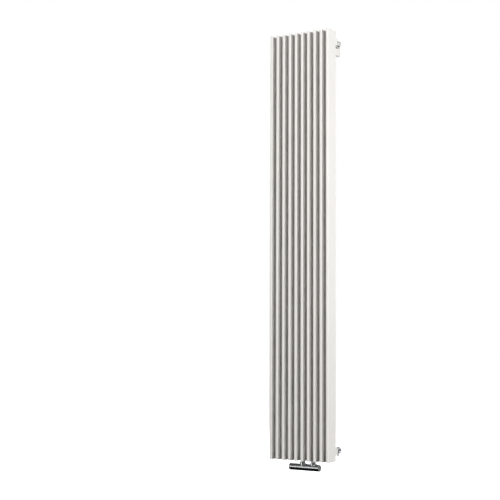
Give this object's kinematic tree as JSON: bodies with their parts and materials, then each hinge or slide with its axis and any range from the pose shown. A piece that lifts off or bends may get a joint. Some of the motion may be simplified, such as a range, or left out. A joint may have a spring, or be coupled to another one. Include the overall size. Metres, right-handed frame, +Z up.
{
  "type": "vertical radiator with thermostatic valve",
  "caption": "Tall wall radiator of upright flat tubes on two rear headers, with chrome standoffs and a horizontal chrome thermostatic valve below.",
  "frame": {"origin": "centre of the four wall screws, on the wall plane", "axes": "+Z up along the heating tubes, +Y into the wall, +X to the right as seen from the room"},
  "size_m": [0.281, 0.13, 1.848],
  "materials": {
    "white_powder_coat": "white powder coat, fine orange peel, semi-gloss",
    "bare_steel": "mill finish",
    "chrome_plate": "mirror polished",
    "zinc_steel": "bright zinc plated",
    "spring_steel": "drawn",
    "brass": "turned",
    "nickel_plate": "satin nickel",
    "black_rubber": "moulded, matte",
    "grey_plastic": "moulded",
    "aluminium": "deep drawn"
  },
  "bodies": {
    "radiator": {"bracket_lock_screws": "zinc_steel", "carrying_bracket_left": "white_powder_coat", "carrying_bracket_right": "white_powder_coat", "fin_01": "white_powder_coat", "fin_02": "white_powder_coat", "fin_03": "white_powder_coat", "fin_04": "white_powder_coat", "fin_05": "white_powder_coat", "fin_06": "white_powder_coat", "fin_07": "white_powder_coat", "fin_08": "white_powder_coat", "fin_09": "white_powder_coat", "fin_10": "white_powder_coat", "fin_bottom_plugs": "white_powder_coat", "fin_top_plugs": "white_powder_coat", "flow_divider": "bare_steel", "gland_nut": "brass", "gland_seal": "black_rubber", "head_carrier": "chrome_plate", "header_plungers": "zinc_steel", "lower_header": "white_powder_coat", "lower_header_caps": "white_powder_coat", "lower_left_standoff": "chrome_plate", "lower_right_standoff": "chrome_plate", "neck_grub_screws": "zinc_steel", "nipple_seals": "black_rubber", "return_nipple": "chrome_plate", "return_socket": "white_powder_coat", "return_spring": "spring_steel", "shutoff_insert": "brass", "shutoff_seal": "black_rubber", "supply_nipple": "chrome_plate", "supply_socket": "white_powder_coat", "upper_header": "white_powder_coat", "upper_header_caps": "white_powder_coat", "upper_left_standoff": "chrome_plate", "upper_right_standoff": "chrome_plate", "valve_body": "chrome_plate", "valve_insert": "brass", "vent_body": "nickel_plate", "vent_seal": "black_rubber", "vent_socket": "white_powder_coat", "wall_pads": "black_rubber"},
    "knob": {"thermostat_knob": "chrome_plate", "knob_lid": "chrome_plate", "knob_bearing": "grey_plastic"},
    "plug": {"drive_cup": "grey_plastic", "capsule_retainer": "grey_plastic", "sensor_capsule": "aluminium", "overtravel_spring": "spring_steel", "push_pin": "spring_steel", "valve_spindle": "spring_steel", "valve_cone": "brass", "cone_seal": "black_rubber"},
    "shutoff_screw": {"shutoff_spindle": "brass"},
    "shutoff_plug": {"shutoff_cone": "brass"},
    "cover_cap": {"shutoff_cap": "chrome_plate"},
    "bleed_screw": {"vent_screw": "nickel_plate"}
  },
  "joints": [
    {"name": "knob_turn", "type": "hinge", "parent": "radiator", "child": "knob", "pos_m": [-0.066, -0.0475, -0.934], "axis": [1, 0, 0], "range_deg": [-144, 144]},
    {"name": "plug_slide", "type": "slide", "parent": "radiator", "child": "plug", "axis": [1, 0, 0], "range_m": [-0.0012, 0.0012], "deforming": ["return_spring"]},
    {"name": "shutoff_turn", "type": "hinge", "parent": "radiator", "child": "shutoff_screw", "pos_m": [0.04, -0.0475, -0.934], "axis": [-1, 0, 0], "range_deg": [0, 900]},
    {"name": "shutoff_slide", "type": "slide", "parent": "radiator", "child": "shutoff_plug", "axis": [-1, 0, 0], "range_m": [0, 0.0025]},
    {"name": "cap_pull", "type": "slide", "parent": "radiator", "child": "cover_cap", "axis": [1, 0, 0], "range_m": [0, 0.03]},
    {"name": "bleed_turn", "type": "hinge", "parent": "radiator", "child": "bleed_screw", "pos_m": [-0.09, -0.0475, 0.885], "axis": [0, 0, 1], "range_deg": [0, 540]}
  ],
  "couplings": [
    {"joint": "plug_slide", "follows": "knob_turn", "m_per_rad": 0.000477},
    {"joint": "shutoff_turn", "follows": "shutoff_slide", "rad_per_m": 6283}
  ]
}
